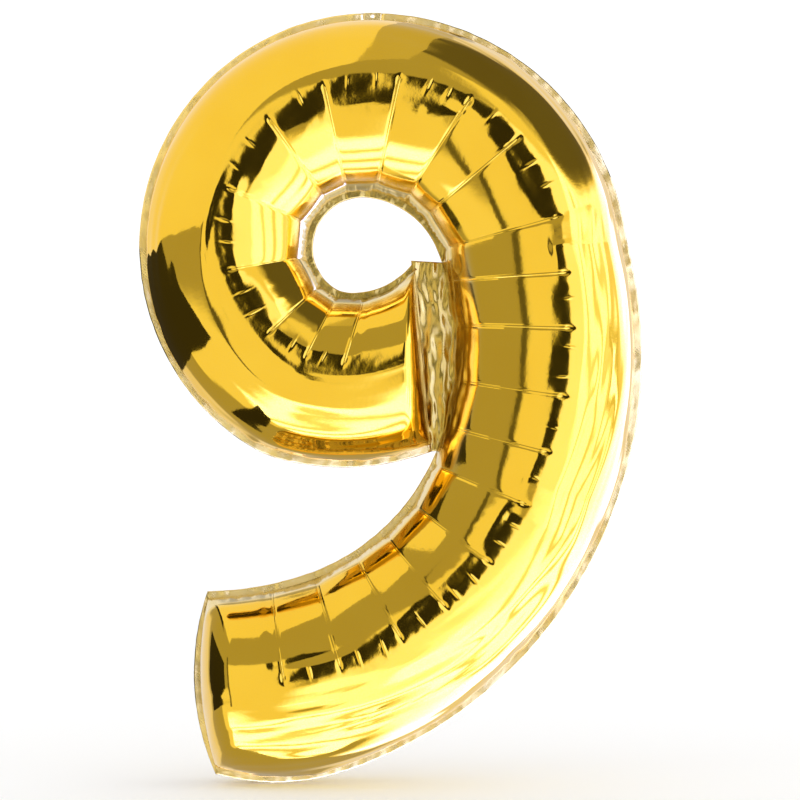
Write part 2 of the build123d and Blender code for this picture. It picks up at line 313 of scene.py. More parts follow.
# The studio as the foil sees it. Each panel: azimuth and elevation of its middle, half its width
# and height, softness of its edge, all in degrees, and its brightness. Azimuth 0 is the camera's
# side and 90 is the right. Each panel is laid over the ones before it.
DIM_WALL = 0.45  # brightness between the panels
DAYLIGHT = (0.20, 0.30, 1.3)  # colour that the brightness above 1 adds, as the windows' cooler light
PANELS = [
    (21, 22, 14, 13, 3, 1.0),  # ceiling in front
    (-35, -40, 38, 26, 4, 1.1),  # pale floor, front left
    (-13, -14, 11, 26, 1.5, 1.0),  # softbox left of the camera
    (16, -14, 11, 28, 2, 2.6),  # softbox right of the camera
    (16, -33, 15, 16, 4, 4.5),  # its lower half
    (88, -20, 64, 40, 3, 5.5),  # wide window on the right
    (85, -44, 62, 18, 6, 10.0),  # its lower half
    (40, -20, 2.8, 36, 2.2, 1.9),  # its bars
    (58, -20, 3.4, 36, 2.6, 1.5),
    (77, -20, 4.5, 36, 3, 1.8),
    (100, -20, 6, 36, 4, 1.2),
    (10, -60, 60, 24, 4, 9.0),  # white floor in front
    (10, -50, 60, 2.4, 2, 1.6),  # joints in it
    (10, -63, 60, 3.0, 2.4, 1.3),
    (10, -77, 60, 3.2, 2.4, 0.9),
    (89, 50, 61, 29, 6, 0.13),  # black flag, high on the right
    (-0.3, 3, 5.2, 10, 1.0, 0.03),  # the camera on its stand
    (-27, 0, 2.2, 22, 0.8, 0.12),  # edge of the left softbox
    (90, -3, 9, 8, 1.5, 0.85),  # door beside the window
    (91, -3, 3, 5, 1, 7.0),
    (158, 0, 16, 42, 4, 0.9),  # pale wall behind
    (-150, 5, 22, 40, 4, 0.9),
]


# ---- Tube and rows ----
def smooth_step(low, high, value):
    """0 at low and below, 1 at high and above, with a smooth rise between."""
    share = np.clip((value - low) / (high - low), 0, 1)
    return share * share * (3 - 2 * share)


def fading(fade, value):
    """1 before a fade and 0 after it."""
    return 1 - smooth_step(*fade, value)


def arc_through(start, middle, end):
    """Centre, radius, first angle and turn of the arc through three points."""
    (ax, az), (bx, bz), (cx, cz) = start, middle, end
    double = 2 * (ax * (bz - cz) + bx * (cz - az) + cx * (az - bz))
    aa, bb, cc = ax * ax + az * az, bx * bx + bz * bz, cx * cx + cz * cz
    ox = (aa * (bz - cz) + bb * (cz - az) + cc * (az - bz)) / double
    oz = (aa * (cx - bx) + bb * (ax - cx) + cc * (bx - ax)) / double
    first, passing, last = (math.atan2(z - oz, x - ox) for x, z in (start, middle, end))
    turn = (last - first) % math.tau
    if (passing - first) % math.tau > turn:
        turn -= math.tau
    return (ox, oz), math.hypot(ax - ox, az - oz), first, turn


def chain(start, rows):
    """The arcs of an outline from its first point and its table."""
    arcs = []
    for middle, end in rows:
        arcs.append(arc_through(start, middle, end))
        start = end
    return arcs


def on_chain(arcs, stations):
    """Points (x, z) of a chain at an array of stations."""
    index = np.minimum(stations.astype(int), STRETCHES - 1)
    centre = np.array([arc[0] for arc in arcs])[index]
    radius, first, turn = (np.array([arc[i] for arc in arcs])[index] for i in (1, 2, 3))
    angle = first + turn * (stations - index)
    return centre + radius[:, None] * np.stack([np.cos(angle), np.sin(angle)], 1)


def smoothed(points, lengths, width):
    """A line of points with its corners eased, both ends kept."""
    step = lengths[-1] / (len(points) - 1)
    even = np.linspace(0, lengths[-1], len(points))
    line = np.stack([np.interp(even, lengths, points[:, i]) for i in (0, 1)], 1)
    reach = int(KERNEL_REACH * width / step)
    kernel = np.exp(-0.5 * (np.arange(-reach, reach + 1) * step / width) ** 2)
    kernel /= kernel.sum()
    before = 2 * line[0] - line[reach:0:-1]
    after = 2 * line[-1] - line[-2:-reach - 2:-1]
    padded = np.concatenate([before, line, after])
    eased = np.stack([np.convolve(padded[:, i], kernel, "valid") for i in (0, 1)], 1)
    return np.stack([np.interp(lengths, even, eased[:, i]) for i in (0, 1)], 1)


def run_lengths(points):
    """Length along a line of points, at each of them."""
    steps = np.linalg.norm(np.diff(points, axis=0), axis=1)
    return np.concatenate([[0.0], np.cumsum(steps)])


OUTER = chain(OUTER_START, OUTER_ARCS)
INNER = chain(INNER_START, INNER_ARCS)


class Tube:
    """The tube's outline and weld lines, as arrays over the length of its middle line."""

    def __init__(self):
        stations = np.linspace(0, STRETCHES, FINE)
        self.station = stations
        inner = on_chain(INNER, stations)
        outer = on_chain(OUTER, stations)
        inner = smoothed(inner, run_lengths(inner), CORNER_SMOOTHING / 2)
        outer = smoothed(outer, run_lengths(outer), CORNER_SMOOTHING)
        across = outer - inner
        across /= np.linalg.norm(across, axis=1)[:, None]
        away = np.maximum(WEB_START - stations, stations - WEB_END)
        margin = MARGIN * np.clip(away / MARGIN_FADE, 0, 1)
        self.inner_edge = inner
        self.outer_edge = outer
        self.inner = inner + across * margin[:, None]
        self.outer = outer - across * MARGIN
        self.across = across
        self.length = run_lengths((self.inner + self.outer) / 2)
        self.total = self.length[-1]
        self.crown = self.smooth_crown()

    def smooth_crown(self):
        """Place of the crown between the two welds, with the table's corners eased."""
        reach = int(KERNEL_REACH * CROWN_SMOOTHING / (self.total / FINE))
        kernel = np.hanning(2 * reach + 1)
        crown = np.interp(self.length, *zip(*CROWN_PLACES))
        padded = np.pad(crown, reach, mode="edge")
        return np.convolve(padded, kernel / kernel.sum(), "valid")

    def at(self, name, lengths):
        """An array of the tube read at other lengths along it."""
        values = getattr(self, name)
        if values.ndim == 1:
            return np.interp(lengths, self.length, values)
        return np.stack([np.interp(lengths, self.length, values[:, i]) for i in (0, 1)], -1)

    def length_at(self, station):
        """Length along the tube at a station of the outline."""
        return float(np.interp(station, self.station, self.length))


TUBE = Tube()


def lattice_noise(along, across, seed):
    """Smooth noise from -1 to 1 over two arrays of coordinates, one lattice cell to a unit."""
    draw = np.random.default_rng(seed)
    columns = int(across.max()) + 3
    values = draw.uniform(-1, 1, (int(along.max()) + 3, columns))
    i, j = np.floor(along).astype(int), np.floor(across).astype(int)
    u, v = along - i, across - j
    u, v = u * u * (3 - 2 * u), v * v * (3 - 2 * v)
    near = values[i, j] * (1 - v) + values[i, j + 1] * v
    far = values[i + 1, j] * (1 - v) + values[i + 1, j + 1] * v
    return near * (1 - u) + far * u


def front_creases():
    """Where the front's creases cross the crown, with both ends of the tube."""
    return np.concatenate([[0], np.cumsum(FRONT_FACETS), [TUBE.total]])


def rear_creases(seed):
    """Where the rear's creases cross the crown, at uneven steps."""
    draw = np.random.default_rng(seed)
    lengths = [0.0]
    while lengths[-1] < TUBE.total - REAR_FACET[1]:
        lengths.append(lengths[-1] + draw.uniform(*REAR_FACET))
    return np.array(lengths[:-1] + [TUBE.total])


def closed_end(distance, rounding):
    """Swelling of the tube from 0 at a closed end to 1 where its rounding ends."""
    share = np.clip(distance / rounding, 0, 1)
    return np.sqrt(1 - (1 - share) ** END_SHAPE)


def tube_depth(lengths, half_width):
    """Depth of the tube at its crown, for one skin."""
    into_stem = np.clip(TUBE.at("station", lengths) - STEM_STATION, 0, 1)
    fullness = LOOP_FULLNESS + (STEM_FULLNESS - LOOP_FULLNESS) * into_stem
    swell = closed_end(lengths, LOOP_END_ROUNDING) * closed_end(TUBE.total - lengths, TAIL_END_ROUNDING)
    return np.maximum(half_width * fullness * swell, END_DEPTH)


def tail_bow(lengths, chord, middle):
    """How far the tail's end bows outward, as (x, z) moves of the grid's points."""
    past = np.clip(1 - (TUBE.total - lengths) / TAIL_BOW_REACH, 0, 1) ** 2
    along = np.gradient(middle, axis=0)
    along /= np.maximum(np.linalg.norm(along, axis=1), 1e-9)[:, None]
    bow = 4 * chord * (1 - chord) * (TAIL_BOW * past)[:, None]
    return bow[:, :, None] * along[:, None, :]


def section_points(lengths, angles):
    """Points of the smooth tube: rows at the lengths, columns at the angles from the inner weld."""
    inner = TUBE.at("inner", lengths)[:, None, :]
    outer = TUBE.at("outer", lengths)[:, None, :]
    crown = TUBE.at("crown", lengths)[:, None]
    half_width = np.linalg.norm(outer - inner, axis=2)[:, 0] / 2
    cosine, sine = np.cos(angles)[None, :], np.sin(angles)
    reach = np.abs(cosine) ** CHORD_POWER
    chord = np.where(cosine > 0, crown * (1 - reach), crown + (1 - crown) * reach)
    flat = inner + (outer - inner) * chord[:, :, None]
    flat = flat + tail_bow(lengths, chord, (inner + outer)[:, 0, :] / 2)
    rise = tube_depth(lengths, half_width)[:, None] * (sine ** RISE_POWER)[None, :]
    return np.stack([flat[:, :, 0], rise, flat[:, :, 1]], 2)


def gap_marks(creases, seed):
    """Where small folds cross the crown between the creases, one or two to a facet."""
    draw = np.random.default_rng(seed)
    marks = []
    for start, stop in zip(creases[1:-1], creases[2:-1]):
        count = max(1, round((stop - start) / GAP_SPACING) - 1)
        marks += list(np.linspace(start, stop, count + 2)[1:-1] + draw.uniform(-GAP_SHIFT, GAP_SHIFT, count))
    return np.array(marks)


def row_layout(creases, marks):
    """Row lengths, close together beside each crease or fold, and the facet that each row is in."""
    rows = []
    for start, stop in zip(creases, creases[1:]):
        near = [start + step for step in CREASE_ROWS]
        far = [stop - step for step in CREASE_ROWS[:0:-1]]
        count = max(1, round((far[0] - near[-1]) / ROW_STEP))
        rows += near + list(np.linspace(near[-1], far[0], count + 1)[1:-1]) + far
    rows += [creases[-1]]
    near_mark = np.abs(np.array(rows)[:, None] - marks[None, :]).min(axis=1) < GAP_CLEAR
    rows = list(np.array(rows)[~near_mark]) + [mark + step for mark in marks for step in GAP_ROWS]
    lengths = np.array(sorted(rows))
    facet = np.searchsorted(creases, lengths, side="right") - 1
    return lengths, np.clip(facet, 0, len(creases) - 2)


def column_angles():
    """Angles of the grid's columns, from the inner weld to the outer one, close at the crown."""
    inner = np.linspace(0, 0.5 - CROWN_BAND, INNER_COLUMNS + 1)[:-1]
    crown = np.linspace(0.5 - CROWN_BAND, 0.5 + CROWN_BAND, CROWN_COLUMNS + 1)[:-1]
    outer = np.linspace(0.5 + CROWN_BAND, 1, OUTER_COLUMNS + 1)
    return math.pi * np.concatenate([inner, crown, outer])


def grid_normals(points):
    """Unit normals of a grid of points, outward on the front."""
    along = np.gradient(points, axis=0)
    across = np.gradient(points, axis=1)
    normal = np.cross(across, along)
    normal /= np.maximum(np.linalg.norm(normal, axis=2), 1e-9)[:, :, None]
    return normal


def bell(distance, width):
    """1 at no distance, falling off over the width."""
    return np.exp(-(distance / width) ** 2)


def by_length(places, lengths):
    """A column of values read from (length, value) pairs."""
    return np.interp(lengths, *zip(*places))[:, None]


# ---- Relief of a skin ----
class Skin:
    """Grid of one skin, with each point's distances across the film, in millimetres.

    x is the length along the tube, as a column. from_crown is negative toward the inner weld.
    """

    def __init__(self, creases, seed):
        self.creases = creases
        self.seed = seed
        self.draw = np.random.default_rng(seed)
        self.marks = gap_marks(creases, seed + 20)
        self.lengths, self.facet = row_layout(creases, self.marks)
        self.x = self.lengths[:, None]
        self.to_end = TUBE.total - self.x
        self.angles = column_angles()
        self.smooth = section_points(self.lengths, self.angles)
        self.span = np.diff(creases)[self.facet][:, None]
        self.share = (self.x - creases[self.facet][:, None]) / self.span
        self.measure_across()
        self.facets_end = smooth_step(*FACETS_FROM, self.x) * smooth_step(*FACETS_UNTIL, self.to_end)
        self.faceted = self.facet_share()
        self.ring = by_length(RING_STRENGTH, self.lengths)
        self.by_eye, self.by_web, self.by_bay = (
            by_length(places, self.lengths) for places in (BY_EYE, BY_WEB, BY_BAY))

    def measure_across(self):
        """Distances of each point from the inner weld, the crown and the outer weld."""
        steps = np.linalg.norm(np.diff(self.smooth, axis=1), axis=2)
        start = np.zeros((len(self.lengths), 1))
        self.from_inner = np.concatenate([start, np.cumsum(steps, axis=1)], axis=1)
        crown_column = INNER_COLUMNS + CROWN_COLUMNS // 2
        self.from_crown = self.from_inner - self.from_inner[:, crown_column, None]
        self.from_outer = self.from_inner[:, -1, None] - self.from_inner

    def facet_share(self):
        """1 on the facets of the inner side, 0 on the round outer side and at the tube's ends."""
        between = ((self.facet > 0) & (self.facet < len(self.creases) - 2))[:, None]
        inner = smooth_step(*FACET_ROOT, self.from_inner) * fading(FACET_FADE, self.from_crown)
        return inner * between

    def noise(self, waves, across=None):
        """Sum of waves of noise, by default over the distance from the inner weld."""
        across = self.from_inner if across is None else across
        total = 0
        for height, along_cell, across_cell, number in waves:
            place = across / across_cell if across_cell else self.x * 0 + 0.5
            total = total + height * lattice_noise(self.x / along_cell, place, self.seed + number)
        return total


def faceted_points(skin):
    """The smooth tube with straight facets ruled between the creases of its inner side."""
    ribs = section_points(skin.creases, skin.angles)
    share = skin.share[:, :, None]
    ruled = ribs[skin.facet] * (1 - share) + ribs[skin.facet + 1] * share
    faceted = skin.faceted[:, :, None]
    return skin.smooth * (1 - faceted) + ruled * faceted


def facet_relief(skin):
    """Creases set a little high or low, and facets that bulge between them."""
    count = len(skin.creases)
    toward_inner = np.linspace(1, 0, len(skin.angles))[None, :]
    lift = skin.draw.normal(0, RIB_LIFT, count)[:, None]
    lift = lift + skin.draw.normal(0, RIB_ROOT_LIFT, count)[:, None] * toward_inner
    lift[[0, 1, -2, -1]] = 0
    bulge = skin.draw.uniform(*FACET_BULGE, count)[skin.facet][:, None]
    share = skin.share
    bend = lift[skin.facet] * (1 - share) + lift[skin.facet + 1] * share
    return (bend + bulge * 4 * share * (1 - share)) * skin.faceted


def crease_relief(skin):
    """A ridge in a groove along each crease, and a dimple at its tip on the crown."""
    from_crease = np.minimum(skin.share, 1 - skin.share) * skin.span
    nearest = skin.facet + (skin.share[:, 0] > 0.5)
    strength = skin.draw.uniform(*CREASE_STRENGTH, len(skin.creases))[nearest][:, None]
    band = smooth_step(*CREASE_ROOT, skin.from_inner) * fading(CREASE_TIP, skin.from_crown)
    (ridge, ridge_width), (groove, groove_width) = RIDGE, GROOVE
    line = (ridge * bell(from_crease, ridge_width) - groove * bell(from_crease, groove_width)) * strength
    depth, along_width, across_width = DIMPLE
    dimple = bell(from_crease, along_width) * bell(skin.from_crown - DIMPLE_PLACE, across_width)
    return (line * band - depth * dimple) * skin.facets_end


def gap_relief(skin):
    """The small folds that cross the crown."""
    draw = np.random.default_rng(skin.seed + 1)
    height = np.zeros_like(skin.from_crown)
    for mark in skin.marks:
        rise, slant, width, offset = draw.uniform(GAP_LEAST, GAP_MOST)
        away = skin.x - mark - slant * skin.from_crown
        fold = bell(away, width) - 0.5 * bell(away, 2 * width)
        height += rise * fold * bell(skin.from_crown - offset, GAP_REACH)
    return height * skin.facets_end


def crown_relief(skin):
    """The crown's wavering edge, the dip inside it and a fainter line beyond."""
    side = np.clip(skin.from_crown / WAVER_REACH, -1, 1)
    waver = skin.noise(WAVER) * side * bell(skin.from_crown, WAVER_WIDTH)
    place, width = SECOND_LINE
    second = skin.noise(SECOND_LINE_WAVES) * bell(skin.from_crown + place, width) * skin.facets_end
    shoulder = SHOULDER * smooth_step(*SHOULDER_FADE, -skin.from_crown) * skin.facets_end
    return waver + second - shoulder


def inner_relief(skin):
    """The bead and ticks beside the inner weld, and the crushed flank beside the web."""
    height, place, width = BEAD
    bead = height * skin.ring * bell(skin.from_inner - place, width) * smooth_step(*BEAD_FROM, skin.x)
    first, last = TICK_BAND
    ticks = skin.noise(TICKS) * skin.ring * smooth_step(*first, skin.from_inner)
    ticks = ticks * fading(last, skin.from_inner)
    first, last = CRUSHED_BAND
    crushed = skin.noise(CRUSHED) * skin.by_web * smooth_step(*first, skin.from_inner)
    return bead + ticks + crushed * fading(last, skin.from_inner)


def outer_relief(skin):
    """Puckers that run in from the outer weld, and long slanting flutes above them."""
    reach = PUCKER_REACH + skin.noise(PUCKER_REACH_WAVES)
    puckers = skin.noise(PUCKERS) * by_length(PUCKER_STRENGTH, skin.lengths)
    puckers = puckers * smooth_step(*PUCKER_ROOT, skin.from_outer)
    puckers = puckers * (1 - smooth_step(PUCKER_CORE * reach, reach, skin.from_outer))
    flutes = skin.noise(FLUTES, skin.from_inner + FLUTE_SLANT * skin.x)
    flutes = flutes * by_length(FLUTE_STRENGTH, skin.lengths)
    flutes = flutes * smooth_step(*FLUTES_FROM, skin.from_crown) * smooth_step(*FLUTES_UNTIL, skin.from_outer)
    swells = skin.noise(SWELLS) * smooth_step(*OFF_CROWN, np.abs(skin.from_crown))
    return puckers + flutes + swells


def painted_shade_band(skin):
    """Share of painted shade, a darker and rougher film colour in place of dark reflections: round the eye,
    beside the web and at the loop's closed end.
    """
    (eye, eye_fade), (web_share, web_fade), (end, end_fade) = PAINTED_SHADE_BY_EYE, PAINTED_SHADE_BY_WEB, PAINTED_SHADE_BY_END
    by_eye = eye * skin.by_eye * fading(eye_fade, skin.from_inner)
    beside_web = web_share * skin.by_web * fading(web_fade, skin.from_inner)
    return np.maximum(np.maximum(by_eye, beside_web), end * fading(end_fade, skin.x))


def painted_highlight_band(skin):
    """Share of painted highlight, a paler and rougher film colour in place of bright reflections: outside the
    painted shade bands, by the bay and along the outer weld.
    """
    rough_painted_highlight = 0
    for strength, (share, place, width) in ((skin.by_eye, PAINTED_HIGHLIGHT_BY_EYE), (skin.by_web, PAINTED_HIGHLIGHT_BY_WEB)):
        rough_painted_highlight = rough_painted_highlight + share * strength * bell(skin.from_inner - place, width)
    share, fade = PAINTED_HIGHLIGHT_BY_BAY
    rough_painted_highlight = rough_painted_highlight + share * skin.by_bay * fading(fade, skin.from_inner)
    share, fade = PAINTED_HIGHLIGHT_BY_OUTER
    return np.clip(rough_painted_highlight + share * fading(fade, skin.from_outer), 0, 1)


def skin_grid(creases, seed):
    """One skin, with depth counted positive: its points, those behind it and the shares of its painted
    highlight and painted shade.
    """
    skin = Skin(creases, seed)
    normal = grid_normals(skin.smooth)
    height = facet_relief(skin) + crease_relief(skin) + gap_relief(skin)
    height = height + crown_relief(skin) + inner_relief(skin) + outer_relief(skin)
    for fade, distance in ((EDGE_FADE, skin.from_inner), (EDGE_FADE, skin.from_outer),
                           (END_FADE, skin.x), (END_FADE, skin.to_end)):
        height = height * smooth_step(*fade, distance)
    points = faceted_points(skin) + normal * height[:, :, None]
    points[:, :, 1] = np.maximum(points[:, :, 1], 0.0) + SEAM_HALF
    backing = skin.smooth - normal * BACKING
    backing[:, :, 1] = np.maximum(backing[:, :, 1], 0.0) + SEAM_HALF / 2
    return points, backing, {"rough_painted_shade": painted_shade_band(skin), "rough_painted_highlight": painted_highlight_band(skin)}


# ---- Meshes ----
def mesh_object(name, vertices, faces):
    """A smooth-shaded object from vertices in millimetres, with its faces turned outward."""
    mesh = bpy.data.meshes.new(name)
    mesh.from_pydata((vertices * MM).tolist(), [], faces)
    work = bmesh.new()
    work.from_mesh(mesh)
    bmesh.ops.recalc_face_normals(work, faces=work.faces)
    work.to_mesh(mesh)
    work.free()
    mesh.shade_smooth()
    piece = bpy.data.objects.new(name, mesh)
    bpy.context.scene.collection.objects.link(piece)
    return piece


def paint(piece, name, values):
    """Store a number at each point of a piece's first grid, for its material."""
    data = np.zeros(len(piece.data.vertices), dtype=np.float32)
    data[:values.size] = values.reshape(-1)
    piece.data.attributes.new(name, "FLOAT", "POINT").data.foreach_set("value", data)


def grid_faces(rows, columns, first):
    """Quads of a grid of points that are numbered row by row from first."""
    corner = first + (np.arange(rows - 1)[:, None] * columns + np.arange(columns - 1)[None, :])
    quads = np.stack([corner, corner + 1, corner + columns + 1, corner + columns], 2)
    return quads.reshape(-1, 4).tolist()


def border(rows, columns):
    """Grid positions round the edge of a grid, one way round; rows and columns are lists."""
    ring = [(rows[0], c) for c in columns[:-1]]
    ring += [(r, columns[-1]) for r in rows[:-1]]
    ring += [(rows[-1], c) for c in columns[:0:-1]]
    ring += [(r, columns[0]) for r in rows[:0:-1]]
    return ring


def every(count, step):
    """0, step, 2 step and so on, and always the last one."""
    return list(range(0, count - 1, step)) + [count - 1]


def rim_faces(rows, columns, kept_rows, kept_columns):
    """Faces that join the edge of a full grid to the edge of the thinned one behind it."""
    first = rows * columns
    row_place = {r: i for i, r in enumerate(kept_rows)}
    column_place = {c: i for i, c in enumerate(kept_columns)}
    fine = border(range(rows), range(columns))
    place = {spot: i for i, spot in enumerate(fine)}
    coarse = border(kept_rows, kept_columns)
    faces = []
    for spot, following in zip(coarse, coarse[1:] + coarse[:1]):
        start, stop = place[spot], place[following]
        stop += len(fine) if stop <= start else 0
        ring = [fine[i % len(fine)] for i in range(start, stop + 1)]
        back = [first + row_place[r] * len(kept_columns) + column_place[c] for r, c in (following, spot)]
        faces.append([r * columns + c for r, c in ring] + back)
    return faces


def closed_film(name, outside, inside, row_step=1, column_step=1):
    """Closed piece between two grids of points, the inside one thinned out by the steps."""
    rows, columns = outside.shape[:2]
    kept_rows, kept_columns = every(rows, row_step), every(columns, column_step)
    inside = inside[np.ix_(kept_rows, kept_columns)]
    faces = grid_faces(rows, columns, 0)
    faces += grid_faces(len(kept_rows), len(kept_columns), rows * columns)
    faces += rim_faces(rows, columns, kept_rows, kept_columns)
    return mesh_object(name, np.concatenate([outside.reshape(-1, 3), inside.reshape(-1, 3)]), faces)


def crinkle(u, w, seed):
    """Sharp-crested wrinkles, about 0 to 1, on two coordinates of one cell to a unit."""
    total = 0
    for octave, weight in CRINKLE_OCTAVES:
        total = total + weight * np.abs(lattice_noise(u * octave, w * octave, seed + int(octave)))
    return 1 - 2 * total


def both_faces(flat, lift, half):
    """Front and rear of a film in the plane of the welds, lifted by an array."""
    return [np.stack([flat[:, :, 0], lift + step, flat[:, :, 1]], 2) for step in (-half, half)]


# ---- Pieces ----
def weld_lift(run, share, wave, seed):
    """Waves of a flat weld that grow from its root (share 0) to its free edge (share 1)."""
    lift = 0
    for offset, (height, cell) in enumerate((WELD_WAVE, WELD_SWELL)):
        lift = lift + height * wave * lattice_noise(run / cell, share * 0 + 0.5, seed + offset) * share
    height, cell = WELD_RIPPLE
    ripple = height * wave * lattice_noise(run / cell, share * WELD_RIPPLE_CELLS, seed + 2)
    return (lift + ripple) * smooth_step(*WELD_ROOT_FADE, share)


def weld_film(name, root, edge, wave, seed):
    """Strip of weld between two rows of (x, z) points, the root lying under the skins."""
    share = np.linspace(0, 1, WELD_COLUMNS + 1)[None, :]
    run = run_lengths(edge)[:, None]
    outward = edge - root
    outward /= np.maximum(np.linalg.norm(outward, axis=1), 1e-6)[:, None]
    wander, cell = EDGE_WANDER
    edge = edge + outward * (wander * lattice_noise(run / cell, run * 0 + 0.5, seed + 3) - wander)
    flat = root[:, None, :] * (1 - share)[:, :, None] + edge[:, None, :] * share[:, :, None]
    lift = weld_lift(run, share, wave, seed)
    return closed_film(name, *both_faces(flat, lift, WELD_HALF * (1 - WELD_THINNING * share)))


def side_weld(name, side, first, last, wave, seed):
    """Stretch of the weld on one side of the tube, "inner" or "outer", between two stations."""
    start, stop = TUBE.length_at(first), TUBE.length_at(last)
    rows = np.linspace(start, stop, max(2, round((stop - start) / WELD_ROW_STEP)))
    under = LIP if side == "inner" else -LIP
    root = TUBE.at(side, rows) + TUBE.at("across", rows) * under
    return weld_film(name, root, TUBE.at(side + "_edge", rows), wave, seed)


def tail_end_weld(seed):
    """Weld that closes the tail, between the bowed end of the skins and the outline's last arc."""
    angles = np.linspace(0, math.pi, TAIL_WELD_POINTS)
    root = section_points(np.array([TUBE.total - 1, TUBE.total]), angles)[1][:, [0, 2]]
    start, end = TUBE.inner_edge[-1], TUBE.outer_edge[-1]
    (ox, oz), radius, first, turn = arc_through(start, TAIL_END, end)
    share = np.linalg.norm(root - root[0], axis=1) / np.linalg.norm(root[-1] - root[0])
    turned = first + turn * np.clip(share, 0, 1)
    edge = np.stack([ox + radius * np.cos(turned), oz + radius * np.sin(turned)], 1)
    return weld_film("tail_end_weld", root + np.array([LIP, 0]), edge, TAIL_WELD_WAVE, seed)


def loop_web(seed):
    """Crinkled film between the loop's closed end and the stem."""
    top_down = np.linspace(0, 1, WEB_ROWS)
    near = TUBE.inner_edge[0] + (TUBE.outer_edge[0] - TUBE.inner_edge[0]) * top_down[:, None]
    far = TUBE.at("inner", np.linspace(TUBE.length_at(WEB_START), TUBE.length_at(WEB_END), WEB_ROWS))
    near, far = near - np.array([2 * LIP, 0]), far + np.array([2 * LIP, 0])
    share = np.linspace(0, 1, WEB_COLUMNS)[None, :]
    flat = near[:, None, :] * (1 - share)[:, :, None] + far[:, None, :] * share[:, :, None]
    down, side = -flat[:, :, 1] + flat[:, :, 1].max(), flat[:, :, 0] - flat[:, :, 0].min()
    folds = 0
    for height, cell, across_cell, slant, shift, number in WEB_FOLDS:
        across = (side + shift + slant * down) / across_cell
        folds = folds + height * lattice_noise(down / cell, across, seed + number)
    lift = -WEB_FOLD * folds * smooth_step(*WEB_EDGE, share) * smooth_step(*WEB_EDGE, 1 - share)
    return closed_film("loop_web_foil", *both_faces(flat, lift, WEB_HALF))


def ring_film(name, front, rear):
    """Closed piece from two wrapped grids, rings of points round a hole."""
    rings, spokes = front.shape[:2]
    count = rings * spokes
    spoke = np.arange(spokes)
    after = (spoke + 1) % spokes
    faces = []
    for first in (0, count):
        for ring in first + np.arange(rings - 1) * spokes:
            beyond = ring + spokes
            faces.append(np.stack([ring + spoke, ring + after, beyond + after, beyond + spoke], 1))
    for ring in (0, (rings - 1) * spokes):
        faces.append(np.stack([ring + spoke, ring + after, count + ring + after, count + ring + spoke], 1))
    vertices = np.concatenate([front.reshape(-1, 3), rear.reshape(-1, 3)])
    return mesh_object(name, vertices, np.concatenate(faces).tolist())


def hang_tab():
    """Stretch of the outer weld at the top, with its punched hole."""
    first, last = (TUBE.length_at(TAB_STATION + step) for step in (-TAB_STEP, TAB_STEP))
    ends = TUBE.at("outer_edge", np.array([first, last]))
    half_width = np.linalg.norm(ends[1] - ends[0]) / 2
    turned = np.linspace(0, math.tau, TAB_SPOKES, endpoint=False)
    cosine, sine = np.cos(turned), np.sin(turned)
    height = np.where(sine > 0, MARGIN / 2, MARGIN / 2 + LIP)
    to_side = half_width / np.maximum(np.abs(cosine), 1e-6)
    reach = np.minimum(to_side, height / np.maximum(np.abs(sine), 1e-6))
    grown = np.linspace(0, 1, TAB_RINGS)[:, None]
    radius = TAB_HOLE_RADIUS + (reach - TAB_HOLE_RADIUS) * grown
    lengths = (first + last) / 2 + radius * cosine * (last - first) / (2 * half_width)
    across = TUBE.at("across", lengths)
    flat = TUBE.at("outer_edge", lengths) + across * (radius * sine - MARGIN / 2)[:, :, None]
    lift = TAB_WARP * np.sin(2 * turned) * grown * (1 - grown)
    return ring_film("hang_tab_foil", *both_faces(flat, lift, WELD_HALF))


def neck_place(points):
    """Points of the neck's own frame (across, along, above), in the balloon's frame at rest."""
    tilt = math.radians(NECK_TILT)
    along, above = points[:, :, 1], points[:, :, 2]
    y = NECK_FOLD[1] + along * math.cos(tilt) - above * math.sin(tilt)
    z = NECK_FOLD[2] + along * math.sin(tilt) + above * math.cos(tilt)
    return np.stack([NECK_FOLD[0] + points[:, :, 0], y, z], 2)


def neck_half_width(along):
    """Half the neck's width along it: a taper with rounded corners, and the taper alone."""
    taper = NECK_ROOT_HALF + (NECK_TIP_HALF - NECK_ROOT_HALF) * along / NECK_LENGTH
    into_corner = np.clip(along - (NECK_LENGTH - NECK_CORNER), 0, NECK_CORNER)
    return taper - NECK_CORNER + np.sqrt(NECK_CORNER ** 2 - into_corner ** 2 + 1e-9), taper


def neck_ply(name, side, seed):
    """One ply of the filler neck, a little puffed along its middle; side is -1 below, 1 above."""
    along = np.linspace(NECK_START, NECK_LENGTH, NECK_ROWS)[:, None]
    share = np.linspace(-1, 1, NECK_COLUMNS)[None, :]
    half, taper = neck_half_width(along)
    across = share * half
    inside = np.clip(1 - np.abs(across) / (taper - NECK_WELD), 0, 1)
    puff = NECK_PUFF * np.sqrt(inside) * smooth_step(*NECK_PUFF_FROM, along)
    height, cell, across_cell = NECK_WRINKLE
    wrinkle = height * crinkle(along / cell, (across + NECK_SIDE) / across_cell, seed)
    wrinkle = wrinkle * smooth_step(*NECK_WRINKLE_EDGE, inside)
    height, cell = NECK_CREASE
    creased = height * lattice_noise(along / cell, share * 0 + 0.5, seed + 5)
    creased = creased * fading(NECK_CREASED_UNTIL, along) * inside
    near = side * (NECK_GAP / 2 + np.maximum(puff + wrinkle + creased, 0))
    grids = [np.stack([across + along * 0, along + across * 0, above], 2)
             for above in (near + side * NECK_FILM, near)]
    return closed_film(name, *(neck_place(grid) for grid in grids))


def root_bend():
    """The eased bend of the neck's root, as (y, z) points with the place of each along the path."""
    path = np.array(NECK_ROOT_PATH)
    stations = np.linspace(0, len(path) - 1, ROOT_ROWS)
    bent = np.stack([np.interp(stations, range(len(path)), path[:, i]) for i in (0, 1)], 1)
    for _ in range(ROOT_EASING):
        bent[1:-1] = (bent[:-2] + 2 * bent[1:-1] + bent[2:]) / 4
    return bent, stations


